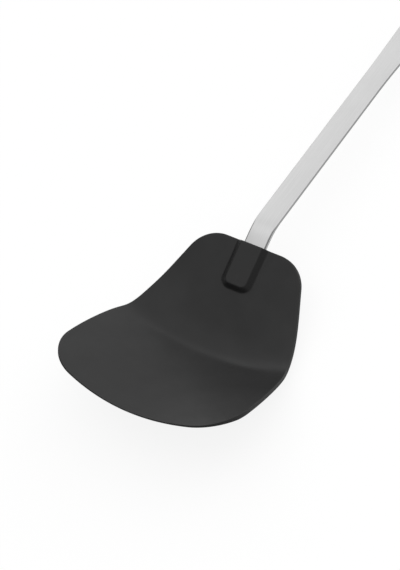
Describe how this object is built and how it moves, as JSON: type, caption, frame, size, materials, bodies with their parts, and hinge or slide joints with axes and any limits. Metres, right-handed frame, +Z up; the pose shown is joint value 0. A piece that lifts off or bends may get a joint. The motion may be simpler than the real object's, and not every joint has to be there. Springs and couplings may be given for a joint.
{
  "type": "wok spatula",
  "caption": "Shovel-shaped nylon wok spatula head, dished and bent up at the neck, on a flat cranked stainless strip handle with a hanging slot.",
  "frame": {"origin": "on the table, under the middle of the tool's box, with the tool lying on the heel of its head and the end of its handle", "axes": "+Z up, +Y along the tool from the blade's tip to the handle's end, +X across it, to the right seen from the blade with the scoop side up"},
  "size_m": [0.11, 0.3578, 0.0357],
  "materials": {
    "black_nylon": "fine matte moulded texture",
    "satin_steel": "satin, brushed along the strip, edges broken"
  },
  "bodies": {
    "root": {"shovel_head": "black_nylon", "handle_strip": "satin_steel"}
  },
  "joints": []
}
